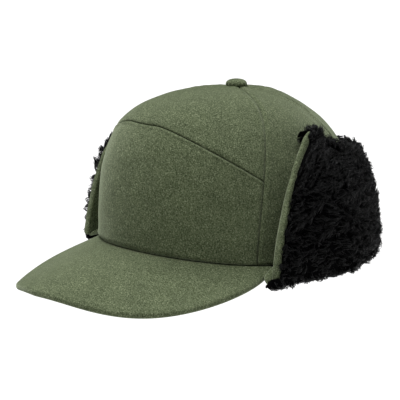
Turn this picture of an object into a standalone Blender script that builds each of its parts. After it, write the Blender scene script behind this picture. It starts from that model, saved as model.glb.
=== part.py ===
"""Trapper hat: a wool cap with a curved bill and a sherpa-lined flap band folded up.

Metres, +Z up, the bill points to -Y and the wearer's left is +X. The origin is the middle
of the head opening, level with the crown's bottom edge at the sides and back.

Angles go around the crown from the middle of the front (0) over the wearer's left (90) to the
middle of the back (180); they are negative on the wearer's right.
"""
import math

import bmesh
import bpy
from mathutils import Vector

# Crown
CROWN_HALF_WIDTH = 0.088
CROWN_FRONT = 0.106          # origin to the front of the crown
CROWN_BACK = 0.098           # origin to the back of the crown
CROWN_HEIGHT = 0.112
FRONT_RISE = 0.0095          # how far the bottom edge arches up over the bill
FRONT_FULLNESS = 3.7         # profile exponents: 2 is round, higher is boxier
SIDE_FULLNESS = 2.6
BACK_FULLNESS = 2.1
TOP_HOLE = 0.035             # the panels' tips stop at this part of the crown's width

# Seams
SIDE_SEAM_BOTTOM = math.radians(62)
SIDE_SEAM_TOP = math.radians(69)
BACK_SEAM = math.radians(126)
BROW_HEIGHT = 0.095          # flat middle of the seam across the front
BROW_END_HEIGHT = 0.059      # where that seam runs into the side seams
BROW_FLAT = 0.15             # part of the front that is flat
BROW_CURVE = 1.55

# Layers, from the outside in
GAP = 0.0003
SEAM_GAP = 0.0004
WOOL = 0.0022
BUCKRAM = 0.0006
LOOSE = 0.0009               # room on each side of the loosely hanging lining
LINING = 0.0006
SWEATBAND = 0.0010
BUCKRAM_DEPTH = WOOL + GAP
LINING_DEPTH = BUCKRAM_DEPTH + BUCKRAM + LOOSE
SWEATBAND_DEPTH = LINING_DEPTH + LINING + LOOSE
SWEATBAND_HEIGHT = 0.032
HEM = 0.0015                 # lining and sweatband end this far above the crown's edge

# Bill
BILL_LENGTH = 0.0776
BILL_ROOT_END = math.radians(68.5)
BILL_CUT = 0.955             # the bill's ends are cut off here, as a part of its half angle
BILL_ROUNDING = 1.4
BILL_FULLNESS = 0.86
BILL_SLOPE = 0.222
BILL_ARCH = 0.0176           # half the depth of the wave that the bill is bent to, along X
BILL_ARCH_WIDTH = 0.1034     # from the top of that wave to its bottom
BILL_GAP = 0.0006            # the bill's root lies this far under the crown's edge
BILL_COVER = 0.0012
BILL_BOARD = 0.0016
BOARD_INSET = 0.0025

# Button
BUTTON_RADIUS = 0.0075
BUTTON_HEIGHT = 0.0058
BUTTON_COVER = 0.0009
BUTTON_METAL = 0.0006
PRONG_RADIUS = 0.0014
PRONG_PLATE_RADIUS = 0.0060
PRONG_PLATE = 0.0007
CROWN_DROP = 0.0004          # the crown's top falls this much across the prong plate

# Flap band: seven flat lengths of one band, each folding on its own straight line
FOLD_Z = -0.004
EAR_DISTANCE = 0.0985        # origin to the ear flap's fold line
EAR_LEAN = math.radians(2.5)  # the folded ear flap stands almost upright
LEAN = math.radians(9)       # the rest of the folded band leans in over the crown
TURN = math.radians(30)      # change of direction from one length to the next
FLAP_WOOL = 0.0022
SHERPA = 0.0080
FLAP_CLEAR = 0.0005
FLAP_ROOT = 0.0010           # cloth starts this far above the fold
EAR_FRONT = 0.0577           # front end of the fold, ahead of the middle of the ear flap's line
EAR_EDGE_LEAN = 0.122        # the ear flap's front edge leans back, and more so higher up
EAR_EDGE_CURVE = 2.22
EAR_HEIGHT = 0.097
EAR_CORNER = 0.010
FACING_WIDTH = 0.0050
CORNER_HEIGHTS = (0.093, 0.081, 0.077)   # ear to rear, rear to nape, nape to neck
LENGTHS = ("ear", "rear", "nape", "neck")
FIRST_FACING = math.radians(90)

WOOL_COLOUR = (0.115, 0.150, 0.075)
SHERPA_COLOUR = (0.008, 0.008, 0.010)
LINING_COLOUR = (0.020, 0.022, 0.018)
BAND_COLOUR = (0.012, 0.012, 0.012)
BUCKRAM_COLOUR = (0.62, 0.60, 0.54)
BOARD_COLOUR = (0.55, 0.55, 0.55)
STEEL_COLOUR = (0.60, 0.60, 0.60)


def clear_scene():
    for item in list(bpy.data.objects):
        bpy.data.objects.remove(item, do_unlink=True)


def make_material(name, colour, roughness, metallic=0.0):
    material = bpy.data.materials.new(name)
    material.use_nodes = True
    shader = material.node_tree.nodes["Principled BSDF"]
    shader.inputs["Base Color"].default_value = (*colour, 1.0)
    shader.inputs["Roughness"].default_value = roughness
    shader.inputs["Metallic"].default_value = metallic
    material.diffuse_color = (*colour, 1.0)
    return material


def add_object(name, points, faces, look, parent=None):
    """One closed mesh object with its own material, shaded smooth except at sharp edges."""
    mesh = bpy.data.meshes.new(name)
    mesh.from_pydata([tuple(point) for point in points], [], faces)
    work = bmesh.new()
    work.from_mesh(mesh)
    bmesh.ops.remove_doubles(work, verts=work.verts, dist=1e-6)
    bmesh.ops.triangulate(work, faces=work.faces)
    work.to_mesh(mesh)
    work.free()
    mesh.shade_smooth()
    mesh.set_sharp_from_angle(angle=math.radians(35))
    mesh.materials.append(make_material(name, *look))
    item = bpy.data.objects.new(name, mesh)
    bpy.context.scene.collection.objects.link(item)
    item.parent = parent
    return item


def smooth_step(value, low, high):
    x = min(max((value - low) / (high - low), 0.0), 1.0)
    return x * x * (3.0 - 2.0 * x)


# ---------------------------------------------------------------- crown surface

def fullness(angle):
    """Exponent of the crown's upright profile at this angle."""
    away = math.degrees(abs(math.remainder(angle, 2 * math.pi)))
    front = FRONT_FULLNESS + (SIDE_FULLNESS - FRONT_FULLNESS) * smooth_step(away, 10, 75)
    return front + (BACK_FULLNESS - SIDE_FULLNESS) * smooth_step(away, 70, 135)


def base_height(angle):
    return FRONT_RISE * max(math.cos(angle), 0.0) ** 2


def crown_point(angle, lift):
    """Outer surface of the crown; lift is 0 at the bottom edge and 1 at the top."""
    power = 2.0 / fullness(angle)
    spread = math.cos(lift * math.pi / 2) ** power
    rise = math.sin(lift * math.pi / 2) ** power
    reach = CROWN_FRONT if math.cos(angle) > 0 else CROWN_BACK
    base = base_height(angle)
    return Vector((CROWN_HALF_WIDTH * spread * math.sin(angle),
                   -reach * spread * math.cos(angle),
                   base + (CROWN_HEIGHT - base) * rise))


def lift_at_height(angle, z):
    base = base_height(angle)
    share = min(max((z - base) / (CROWN_HEIGHT - base), 0.0), 1.0)
    return math.asin(share ** (fullness(angle) / 2)) * 2 / math.pi


def top_lift(angle):
    """Lift at the rim of the small hole under the button."""
    return math.acos(TOP_HOLE ** (fullness(angle) / 2)) * 2 / math.pi


def side_seam(lift):
    """Angle of the seam between the front or top panel and the side panel."""
    return SIDE_SEAM_BOTTOM + (SIDE_SEAM_TOP - SIDE_SEAM_BOTTOM) * math.sin(lift * math.pi / 2)


def brow_lift(across):
    """Lift of the seam between the front and top panels; across runs from -1 to 1."""
    share = max((abs(across) - BROW_FLAT) / (1.0 - BROW_FLAT), 0.0)
    z = BROW_HEIGHT + (BROW_END_HEIGHT - BROW_HEIGHT) * share ** BROW_CURVE
    lift = 0.5
    for _ in range(8):
        lift = lift_at_height(across * side_seam(lift), z)
    return lift


def surface_normal(surface, u, v, step=1e-4):
    along = surface(u + step, v) - surface(u - step, v)
    up = surface(u, v + step) - surface(u, v - step)
    return along.cross(up).normalized()


def crown_layer(angle, lift, depth):
    """A point this deep under the crown's outer surface."""
    safe = min(max(lift, 2e-4), 1 - 2e-4)
    return crown_point(angle, lift) - surface_normal(crown_point, angle, safe) * depth


def seam_inset(angle, lift, seam_side):
    """The angle half a seam gap away from a seam, on the side given by +1 or -1."""
    radius = max(crown_point(angle, lift).xy.length, 0.002)
    return angle + seam_side * SEAM_GAP / 2 / radius


# ---------------------------------------------------------------- closed skins

def skin(name, layer, columns, rows, outer, inner, look, closed=False):
    """A closed skin between two depths of layer(u, v, depth), with u and v from 0 to 1.

    u runs to the wearer's left seen from in front and v runs up, so the outer face looks out.
    A skin closed in u is a ring.
    """
    count = columns if closed else columns + 1
    points = []
    for depth in (outer, inner):
        for j in range(rows + 1):
            points += [layer(i / columns, j / rows, depth) for i in range(count)]
    size = count * (rows + 1)

    def outside(i, j):
        return (i % count) + j * count

    def inside(i, j):
        return outside(i, j) + size

    faces = []
    for i in range(columns):
        for j in range(rows):
            faces.append((outside(i, j), outside(i + 1, j), outside(i + 1, j + 1), outside(i, j + 1)))
            faces.append((inside(i, j + 1), inside(i + 1, j + 1), inside(i + 1, j), inside(i, j)))
        faces.append((inside(i, 0), inside(i + 1, 0), outside(i + 1, 0), outside(i, 0)))
        faces.append((outside(i, rows), outside(i + 1, rows), inside(i + 1, rows), inside(i, rows)))
    if not closed:
        for j in range(rows):
            faces.append((outside(0, j), outside(0, j + 1), inside(0, j + 1), inside(0, j)))
            faces.append((inside(columns, j), inside(columns, j + 1),
                          outside(columns, j + 1), outside(columns, j)))
    return add_object(name, points, faces, look)


def front_layer(bottom, top, brow_side):
    """Layer between the two side seams, from lift bottom(across) to lift top(across)."""
    def layer(u, v, depth):
        across = 2 * u - 1
        low, high = bottom(across), top(across)
        if brow_side > 0:
            low += SEAM_GAP / 2 / CROWN_HEIGHT
        elif brow_side < 0:
            high -= SEAM_GAP / 2 / CROWN_HEIGHT
        lift = low + (high - low) * v
        edge = seam_inset(side_seam(lift), lift, -1)
        return crown_layer(across * edge, lift, depth)
    return layer


def gore_layer(first, last):
    """Layer from the bottom edge to the top hole between two seams, each an angle of lift."""
    def layer(u, v, depth):
        middle = (first(0.5) + last(0.5)) / 2
        lift = v * top_lift(middle)
        left = seam_inset(first(lift), lift, 1)
        right = seam_inset(last(lift), lift, -1)
        angle = left + (right - left) * u
        lift = v * top_lift(angle)
        return crown_layer(angle, lift, depth)
    return layer


def bottom_edge(across):
    return 0.0


def top_edge(across):
    return top_lift(across * SIDE_SEAM_TOP)


def make_crown_panels():
    wool = (WOOL_COLOUR, 0.95)
    skin("front_panel", front_layer(bottom_edge, brow_lift, -1), 14, 8, 0, WOOL, wool)
    skin("top_panel", front_layer(brow_lift, top_edge, 1), 14, 7, 0, WOOL, wool)
    gores = {
        "side_panel_left": (side_seam, lambda lift: BACK_SEAM),
        "back_panel_left": (lambda lift: BACK_SEAM, lambda lift: math.pi),
        "side_panel_right": (lambda lift: -BACK_SEAM, lambda lift: -side_seam(lift)),
        "back_panel_right": (lambda lift: -math.pi, lambda lift: -BACK_SEAM),
    }
    for name, (first, last) in gores.items():
        skin(name, gore_layer(first, last), 7, 10, 0, WOOL, wool)


def make_crown_inside():
    """Stiffener behind the front panel, four lining gores and the sweatband ring."""
    buckram = front_layer(lambda across: 0.03, brow_lift, -1)
    skin("front_buckram", buckram, 14, 8, BUCKRAM_DEPTH, BUCKRAM_DEPTH + BUCKRAM,
         (BUCKRAM_COLOUR, 0.9))

    def hemmed(first, last):
        full = gore_layer(first, last)

        def layer(u, v, depth):
            return full(u, 0.02 + 0.98 * v, depth)
        return layer

    gores = {
        "lining_front": (lambda lift: -side_seam(lift), side_seam, 16),
        "lining_left": (side_seam, lambda lift: BACK_SEAM, 8),
        "lining_right": (lambda lift: -BACK_SEAM, lambda lift: -side_seam(lift), 8),
        "lining_back": (lambda lift: BACK_SEAM, lambda lift: 2 * math.pi - BACK_SEAM, 14),
    }
    for name, (first, last, columns) in gores.items():
        skin(name, hemmed(first, last), columns, 9, LINING_DEPTH, LINING_DEPTH + LINING,
             (LINING_COLOUR, 0.6))

    def band(u, v, depth):
        angle = 2 * math.pi * u
        z = base_height(angle) + HEM + SWEATBAND_HEIGHT * v
        return crown_layer(angle, lift_at_height(angle, z), depth)

    skin("sweatband", band, 48, 2, SWEATBAND_DEPTH, SWEATBAND_DEPTH + SWEATBAND,
         (BAND_COLOUR, 0.8), closed=True)


# ---------------------------------------------------------------- bill

def bill_arch(x):
    return BILL_ARCH * math.cos(math.pi * x / BILL_ARCH_WIDTH)


def bill_surface(across, back, inset=0.0):
    """Top of the bill; back is 0 at its free edge and 1 at its root under the crown's edge."""
    angle = across * BILL_ROOT_END
    wall = crown_point(angle, 0.0)
    outward = Vector((wall.x, wall.y, 0.0)).normalized()
    reach = BILL_LENGTH * (1.0 - abs(across) ** BILL_ROUNDING) ** BILL_FULLNESS - inset
    distance = -WOOL + (reach + WOOL) * (1.0 - back)
    point = wall + outward * distance
    point.z -= BILL_GAP
    if distance > 0:
        point.z += bill_arch(point.x) - bill_arch(wall.x) - BILL_SLOPE * distance
    return point


def bill_layer(inset):
    def layer(u, v, depth):
        across = (2 * u - 1) * (BILL_CUT - inset / BILL_LENGTH)

        def surface(a, b):
            return bill_surface(a, b, inset)
        return surface(across, v) - surface_normal(surface, across, v) * depth
    return layer


def make_bill():
    """A stiff board between two wool covers."""
    wool = (WOOL_COLOUR, 0.95)
    board_top = BILL_COVER + GAP
    under_top = board_top + BILL_BOARD + GAP
    skin("bill_top_cover", bill_layer(0), 20, 4, 0, BILL_COVER, wool)
    skin("bill_board", bill_layer(BOARD_INSET), 20, 4, board_top, board_top + BILL_BOARD,
         (BOARD_COLOUR, 0.5))
    skin("bill_bottom_cover", bill_layer(0), 20, 4, under_top, under_top + BILL_COVER, wool)


# ---------------------------------------------------------------- button

def turned(name, profile, look, steps=20):
    """A solid turned about the Z axis from (radius, z) points, which go from the axis at the
    top, down the outer side and back to the axis."""
    points = []
    rings = []
    for radius, z in profile:
        if radius == 0:
            rings.append([len(points)] * steps)
            points.append(Vector((0, 0, z)))
            continue
        rings.append(list(range(len(points), len(points) + steps)))
        for k in range(steps):
            turn = 2 * math.pi * k / steps
            points.append(Vector((radius * math.cos(turn), radius * math.sin(turn), z)))
    faces = []
    for upper, lower in zip(rings, rings[1:]):
        for k in range(steps):
            after = (k + 1) % steps
            corners = [upper[k], lower[k], lower[after], upper[after]]
            faces.append(tuple(dict.fromkeys(corners)))
    return add_object(name, points, faces, look)


def dome(radius, height, foot, steps=6):
    """Profile of a low dome from its top to its rim, both as (radius, z)."""
    points = []
    for k in range(steps + 1):
        turn = math.pi / 2 * k / steps
        points.append((radius * math.sin(turn), foot + height * math.cos(turn) ** 0.8))
    return points


def cap_profile(radius, height, foot, thickness):
    """A hollow dome, open below."""
    outside = dome(radius, height, foot)
    inside = dome(radius - thickness, height - thickness, foot)
    return outside + inside[::-1]


def make_button():
    foot = CROWN_HEIGHT + GAP
    turned("button_cover", cap_profile(BUTTON_RADIUS, BUTTON_HEIGHT, foot, BUTTON_COVER),
           (WOOL_COLOUR, 0.95))
    hollow = BUTTON_COVER + GAP
    turned("button_shell",
           cap_profile(BUTTON_RADIUS - hollow, BUTTON_HEIGHT - hollow, foot, BUTTON_METAL),
           (STEEL_COLOUR, 0.35, 1.0))
    under = CROWN_HEIGHT - WOOL - GAP - CROWN_DROP
    tip = foot + BUTTON_HEIGHT - hollow - BUTTON_METAL - GAP
    turned("button_prong", [(0, tip), (PRONG_RADIUS, tip - PRONG_RADIUS), (PRONG_RADIUS, under),
                            (PRONG_PLATE_RADIUS, under), (PRONG_PLATE_RADIUS, under - PRONG_PLATE),
                            (0, under - PRONG_PLATE)],
           (STEEL_COLOUR, 0.35, 1.0))


# ---------------------------------------------------------------- flap band

def facing_of(index):
    """Direction in which one length of the band faces, as an angle around the crown."""
    return FIRST_FACING + index * TURN


def lean_of(index):
    return EAR_LEAN if index == 0 else LEAN


def fold_distance(index):
    """Distance of a fold line from the origin at which the leaning cloth clears the crown."""
    if index == 0:
        return EAR_DISTANCE
    facing = facing_of(index)
    farthest = 0.0
    for step in range(-45, 46, 3):
        angle = facing + math.radians(step)
        for row in range(0, 18):
            point = crown_point(angle, row / 20)
            outward = point.x * math.sin(facing) - point.y * math.cos(facing)
            farthest = max(farthest, outward + (point.z - FOLD_Z) * math.tan(LEAN))
    return farthest + FLAP_WOOL / 2 + FLAP_CLEAR


def corner(index, other, level, offset):
    """Where a length meets a neighbour, along its fold from its middle.

    The two leaning planes cross at a place that depends on the level above or below the fold.
    Offset moves both of them in, so that the cut also clears when the band is turned down.
    """
    def reach(number):
        lean = lean_of(number)
        return fold_distance(number) - level * math.tan(lean) - offset / math.cos(lean)
    return (reach(other) - reach(index) * math.cos(TURN)) / math.sin(TURN)


def side_ends(index, height, offset):
    """Start and end of a length at a height up its plane, each half a gap short of its corner."""
    level = height * math.cos(lean_of(index))
    after = index + 1 if index < len(LENGTHS) - 1 else index - 1
    end = corner(index, after, level, offset) - SEAM_GAP
    if index == 0:
        return ear_edge(height), end
    return SEAM_GAP - corner(index, index - 1, level, offset), end


def ear_edge(height):
    """Front edge of the ear flap, along the fold, at this height above the fold."""
    return -EAR_FRONT + EAR_EDGE_LEAN * height + EAR_EDGE_CURVE * height ** 2


def flap_outline(index, offset, inset, front_inset=0.0):
    """Outline of one length of the band as (along, height), anticlockwise from outside."""
    low = FLAP_ROOT + inset
    high_end = CORNER_HEIGHTS[min(index, len(CORNER_HEIGHTS) - 1)] - inset
    right = [(side_ends(index, low, offset)[1], low),
             (side_ends(index, high_end, offset)[1], high_end)]
    if index > 0:
        high_start = CORNER_HEIGHTS[index - 1] - inset
        return right + [(side_ends(index, high_start, offset)[0], high_start),
                        (side_ends(index, low, offset)[0], low)]
    top = EAR_HEIGHT - inset
    left = []
    straight = top - EAR_CORNER
    for k in range(4):
        turn = math.pi / 2 * k / 4
        height = straight + EAR_CORNER * math.cos(turn)
        bend = EAR_CORNER * (1 - math.sin(turn))
        left.append((ear_edge(height) + front_inset + bend, height))
    for k in range(6):
        height = straight + (low - straight) * k / 5
        left.append((ear_edge(height) + front_inset, height))
    return right + left


def slab(name, lean, inner_outline, inner_offset, outer_outline, outer_offset, side, look,
         parent):
    """Closed piece between two outlines of the same number of points, on the leaning plane.

    Its own frame has X along the fold, Z up and -Y out of the hat; side -1 mirrors it in X.
    """
    def place(outline, offset):
        placed = []
        for along, height in outline:
            placed.append(Vector((side * along,
                                  height * math.sin(lean) - offset * math.cos(lean),
                                  height * math.cos(lean) + offset * math.sin(lean))))
        return placed
    points = place(inner_outline, inner_offset) + place(outer_outline, outer_offset)
    count = len(inner_outline)
    faces = [tuple(range(count - 1, -1, -1)), tuple(range(count, 2 * count))]
    for k in range(count):
        after = (k + 1) % count
        faces.append((k, after, after + count, k + count))
    if side < 0:
        faces = [face[::-1] for face in faces]
    return add_object(name, points, faces, look, parent)


def facing_outline(inset):
    """Strip of wool along the ear flap's front edge, as (along, height)."""
    low, high = FLAP_ROOT + inset, EAR_HEIGHT - EAR_CORNER - inset
    heights = [low + (high - low) * k / 6 for k in range(7)]
    back = [(ear_edge(height) + FACING_WIDTH - inset, height) for height in heights]
    front = [(ear_edge(height) + inset, height) for height in heights]
    return back + front[::-1]


def make_flap_length(index, side):
    """One length of the band, hung from an empty on its fold line."""
    facing = facing_of(index)
    lean = lean_of(index)
    name = LENGTHS[index]
    if index < 3:
        name += "_left" if side > 0 else "_right"
    distance = fold_distance(index)
    fold = bpy.data.objects.new(name + "_fold", None)
    bpy.context.scene.collection.objects.link(fold)
    fold.location = (side * distance * math.sin(facing), -distance * math.cos(facing), FOLD_Z)
    fold.rotation_euler = (0, 0, side * facing if side > 0 else -facing)

    cloth = FLAP_WOOL / 2
    fur = cloth + GAP
    fur_top = fur + SHERPA
    outline = flap_outline(index, cloth, 0)
    slab(name + "_wool", lean, outline, -cloth, outline, cloth, side, (WOOL_COLOUR, 0.95), fold)
    behind_facing = FACING_WIDTH + SEAM_GAP if index == 0 else 0.0
    slab(name + "_sherpa", lean,
         flap_outline(index, fur, 0.001, behind_facing), fur,
         flap_outline(index, fur_top, 0.003, behind_facing + 0.001), fur_top,
         side, (SHERPA_COLOUR, 1.0), fold)
    if index == 0:
        slab(name + "_facing", lean, facing_outline(0), fur, facing_outline(0.001),
             fur_top - 0.001, side, (WOOL_COLOUR, 0.95), fold)


def make_flap_band():
    for index in range(len(LENGTHS)):
        for side in (1, -1):
            if index < len(LENGTHS) - 1 or side > 0:
                make_flap_length(index, side)


def main():
    clear_scene()
    make_crown_panels()
    make_crown_inside()
    make_bill()
    make_button()
    make_flap_band()


main()
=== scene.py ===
"""Trapper hat: the finished wool, bill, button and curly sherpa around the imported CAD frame.

Metres, +Z up, the bill points to -Y and the wearer's left is +X. Angles go around the crown
from the middle of the front (0) over the wearer's left (90) to the middle of the back (180).
The CAD's shape formulas are repeated here, on arrays, so that each piece lies where its solid is.
"""
import math

import bpy
import numpy as np
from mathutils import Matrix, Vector


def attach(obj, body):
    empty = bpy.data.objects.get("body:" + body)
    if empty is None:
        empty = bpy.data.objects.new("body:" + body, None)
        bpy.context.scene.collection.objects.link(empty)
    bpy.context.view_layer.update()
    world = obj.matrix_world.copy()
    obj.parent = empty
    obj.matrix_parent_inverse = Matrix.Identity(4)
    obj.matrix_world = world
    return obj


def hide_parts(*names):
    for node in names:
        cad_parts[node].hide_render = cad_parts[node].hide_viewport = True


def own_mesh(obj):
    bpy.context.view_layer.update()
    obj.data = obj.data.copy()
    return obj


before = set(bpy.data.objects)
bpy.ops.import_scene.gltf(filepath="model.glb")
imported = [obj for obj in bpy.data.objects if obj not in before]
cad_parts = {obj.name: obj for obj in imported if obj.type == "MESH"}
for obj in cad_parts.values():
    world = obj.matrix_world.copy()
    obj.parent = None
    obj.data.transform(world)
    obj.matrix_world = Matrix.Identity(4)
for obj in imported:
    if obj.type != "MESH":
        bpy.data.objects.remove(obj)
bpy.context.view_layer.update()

FINE = 1.0        # share of the full mesh density

# Crown, as in the CAD part
CROWN_HALF_WIDTH = 0.088
CROWN_FRONT = 0.106
CROWN_BACK = 0.098
CROWN_HEIGHT = 0.112
FRONT_RISE = 0.0095
FRONT_FULLNESS = 3.7
SIDE_FULLNESS = 2.6
BACK_FULLNESS = 2.1
TOP_HOLE = 0.035
SIDE_SEAM_BOTTOM = math.radians(62)
SIDE_SEAM_TOP = math.radians(69)
BACK_SEAM = math.radians(126)
BROW_HEIGHT = 0.095
BROW_END_HEIGHT = 0.059
BROW_FLAT = 0.15
BROW_CURVE = 1.55

# Layers, from the outside in
SEAM_GAP = 0.0003
WOOL = 0.0022
LINING_DEPTH = 0.0045        # half a millimetre more than in the CAD, clear of the buckram
LINING_LAP = 0.005           # share of its width that a lining gore reaches past its seam
LINING = 0.0006
SWEATBAND_DEPTH = 0.0055
SWEATBAND = 0.0010
SWEATBAND_HEIGHT = 0.032
HEM = 0.0015

# Bill
BILL_LENGTH = 0.0776
BILL_ROOT_END = math.radians(68.5)
BILL_CUT = 0.995             # the covers end this share of the way to the root's pointed ends
BILL_ROUNDING = 1.4
BILL_FULLNESS = 0.86
BILL_SLOPE = 0.222
BILL_ARCH = 0.0176
BILL_ARCH_WIDTH = 0.1034
BILL_GAP = 0.0006
BILL_COVER = 0.0012
BILL_THICKNESS = 0.0046

# Button
BUTTON_RADIUS = 0.0075
BUTTON_HEIGHT = 0.0058

# Flap band
FOLD_Z = -0.004
EAR_DISTANCE = 0.0985
EAR_LEAN = math.radians(2.5)
LEAN = math.radians(9)
TURN = math.radians(30)
FLAP_WOOL = 0.0022
FLAP_CLEAR = 0.0005
EAR_FRONT = 0.0577
EAR_EDGE_LEAN = 0.122
EAR_EDGE_CURVE = 2.22
EAR_CORNER = 0.005
FACING_WIDTH = 0.0050
LENGTHS = ("ear", "rear", "nape", "neck")
FIRST_FACING = math.radians(90)

# Shapes of the cloth that the CAD doesn't have
SIDE_SEAM_BOW = math.radians(3.0)        # the sewn seam bows back this much over the shoulder
SEAM_ROLL = 0.0015           # radius of a panel's edge where it turns into a seam
RIDGE = 0.00035              # the seam allowance lifts the cloth this much
RIDGE_AT = 0.0034            # at this distance from the seam
SWELL = 0.00040              # height of the crown panels' slow swells
PUCKER = 0.00022             # and of the small puckers beside their seams
FLAP_SWELL = 0.00025         # height of the swells in the flaps' wool
ROOT_RADIUS = 0.0013         # radius of that wool where it rolls into the fold
THINNEST = 0.0001            # least thickness of a cloth, at its edges
PILE_BED = 0.0056            # thickness of the sherpa's dense part
CORNER_SAG = 0.0035          # it is thinner by this much where two lengths meet
FOLD_SAG = 0.0015            # and by this much at the fold
EAR_TOP = 0.0965             # height of the wool's upper edge at the ear flap's front
TOP_HEIGHTS = (0.0920, 0.070, 0.068)     # and where two lengths meet
HUG = 0.0100                 # the folded wool bends in over the crown this much
HUG_RISE = 0.040             # at this height above where the bend starts
HUG_STARTS = (0.055, 0.038)  # height of that at the ear flap's front, and behind it
BENT_SLACK = 0.38            # its ends reach out by this share of the bend, to meet when down
REAR_BLUNT = 0.0045          # the wool behind the ear flap starts this much lower
BED_TURN = 0.80              # share of the sherpa's rows below its turn over the upper edge
FACING_TURN = 0.84           # share of the facing's rows below the ear flap's upper corner
EAR_STRIP_SLANT = 0.022      # the strips under the ear's fold slant back this much inwards
# The ear flaps were not folded up quite alike: the wearer's left and right one's
EAR_BACK = {1: 0.0030, -1: -0.0020}      # front edge lies this far behind the pattern's
EAR_HUG = {1: 1.0, -1: 1.2}              # bend is this much stronger
EAR_TOP_DROP = {1: 0.0, -1: 0.0130}      # upper edge is this much lower
EAR_PAST_BILL = {1: 0.0045, -1: -0.0020}     # fold reaches this far past the front edge
LOCK_SPACING = 0.0044        # between the locks of pile
LOCK_JITTER = 0.38           # a lock is off its even place by up to this share of the spacing
LOCK_SPREAD = 0.72           # and its strands stand within this share of it
STRANDS = 12                 # in one lock
STRAND_STEPS = 6             # points along a strand
STRAND_RADII = (0.00036, 0.00056)
STRAND_ROOT = 0.0006         # depth of its root in the ground
CURL = 0.00055               # radius of its curl
CURL_TURN = 7.5              # radians that it curls through

# Studio
FLOOR_Z = -0.35              # low enough for the flaps to hang free above it


# ---- shapes shared with the CAD

def smooth_step(value, low, high):
    x = np.clip((value - low) / (high - low), 0.0, 1.0)
    return x * x * (3.0 - 2.0 * x)


def fullness(angle):
    away = np.degrees(np.abs((angle + math.pi) % (2 * math.pi) - math.pi))
    front = FRONT_FULLNESS + (SIDE_FULLNESS - FRONT_FULLNESS) * smooth_step(away, 10, 75)
    return front + (BACK_FULLNESS - SIDE_FULLNESS) * smooth_step(away, 70, 135)


def base_height(angle):
    return FRONT_RISE * np.maximum(np.cos(angle), 0.0) ** 2


def crown_point(angle, lift):
    """Outer surface of the crown; lift is 0 at the bottom edge and 1 at the top."""
    angle, lift = np.broadcast_arrays(np.asarray(angle, float), np.asarray(lift, float))
    power = 2.0 / fullness(angle)
    spread = np.clip(np.cos(lift * math.pi / 2), 0.0, 1.0) ** power
    rise = np.clip(np.sin(lift * math.pi / 2), 0.0, 1.0) ** power
    reach = np.where(np.cos(angle) > 0, CROWN_FRONT, CROWN_BACK)
    base = base_height(angle)
    return np.stack([CROWN_HALF_WIDTH * spread * np.sin(angle),
                     -reach * spread * np.cos(angle),
                     base + (CROWN_HEIGHT - base) * rise], axis=-1)


def lift_at_height(angle, z):
    base = base_height(angle)
    share = np.clip((z - base) / (CROWN_HEIGHT - base), 0.0, 1.0)
    return np.arcsin(share ** (fullness(angle) / 2)) * 2 / math.pi


def top_lift(angle):
    return np.arccos(TOP_HOLE ** (fullness(angle) / 2)) * 2 / math.pi


def side_seam(lift):
    straight = SIDE_SEAM_BOTTOM + (SIDE_SEAM_TOP - SIDE_SEAM_BOTTOM) * np.sin(lift * math.pi / 2)
    return straight + SIDE_SEAM_BOW * np.sin(math.pi * np.clip(lift, 0.0, 1.0) ** 2.2)


def right_side_seam(lift):
    return -side_seam(lift)


def straight_seam(angle):
    """A seam that stays at this angle from the bottom edge to the top."""
    return lambda lift: angle


def brow_lift(across):
    share = np.maximum((np.abs(across) - BROW_FLAT) / (1.0 - BROW_FLAT), 0.0)
    z = BROW_HEIGHT + (BROW_END_HEIGHT - BROW_HEIGHT) * share ** BROW_CURVE
    lift = 0.5
    for _ in range(8):
        lift = lift_at_height(across * side_seam(lift), z)
    return lift


def bill_arch(x):
    return BILL_ARCH * np.cos(math.pi * x / BILL_ARCH_WIDTH)


def bill_point(across, back):
    """Top of the bill; back is 0 at its free edge and 1 at its root under the crown's edge."""
    across, back = np.broadcast_arrays(np.asarray(across, float), np.asarray(back, float))
    wall = crown_point(across * BILL_ROOT_END, 0.0)
    outward = wall * (1.0, 1.0, 0.0)
    outward /= np.linalg.norm(outward, axis=-1, keepdims=True)
    reach = BILL_LENGTH * (1.0 - np.abs(across) ** BILL_ROUNDING) ** BILL_FULLNESS
    distance = -WOOL + (reach + WOOL) * (1.0 - back)
    point = wall + outward * distance[..., None]
    rise = bill_arch(point[..., 0]) - bill_arch(wall[..., 0]) - BILL_SLOPE * distance
    point[..., 2] += np.where(distance > 0, rise, 0.0) - BILL_GAP
    return point


def facing_of(index):
    return FIRST_FACING + index * TURN


def lean_of(index):
    return EAR_LEAN if index == 0 else LEAN


def fold_distance(index):
    """Distance of a fold line from the origin at which the leaning cloth clears the crown."""
    if index == 0:
        return EAR_DISTANCE
    facing = facing_of(index)
    angles = facing + np.radians(np.arange(-45, 46, 3))
    points = crown_point(angles[:, None], np.arange(18)[None, :] / 20)
    outward = points[..., 0] * math.sin(facing) - points[..., 1] * math.cos(facing)
    clear = outward + (points[..., 2] - FOLD_Z) * math.tan(LEAN)
    return clear.max() + FLAP_WOOL / 2 + FLAP_CLEAR


def corner(index, other, level, offset):
    """Where a length meets a neighbour at this level, for surfaces this far outside the cloth."""
    def reach(number):
        lean = lean_of(number)
        return fold_distance(number) - level * math.tan(lean) + offset / math.cos(lean)
    return (reach(other) - reach(index) * math.cos(TURN)) / math.sin(TURN)


def ear_edge(height):
    return -EAR_FRONT + EAR_EDGE_LEAN * height + EAR_EDGE_CURVE * height ** 2


# ---- meshes from grids

def even(count):
    return np.linspace(0.0, 1.0, count)


def close_ends(count):
    """Numbers from 0 to 1 that lie four times closer together at both ends."""
    t = even(count)
    return t - 0.75 * np.sin(2 * math.pi * t) / (2 * math.pi)


def shares(columns, rows, spaced=even):
    """Places across and up a grid, each from 0 to 1."""
    return spaced(int(columns))[None, :], spaced(int(rows))[:, None]


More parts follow.
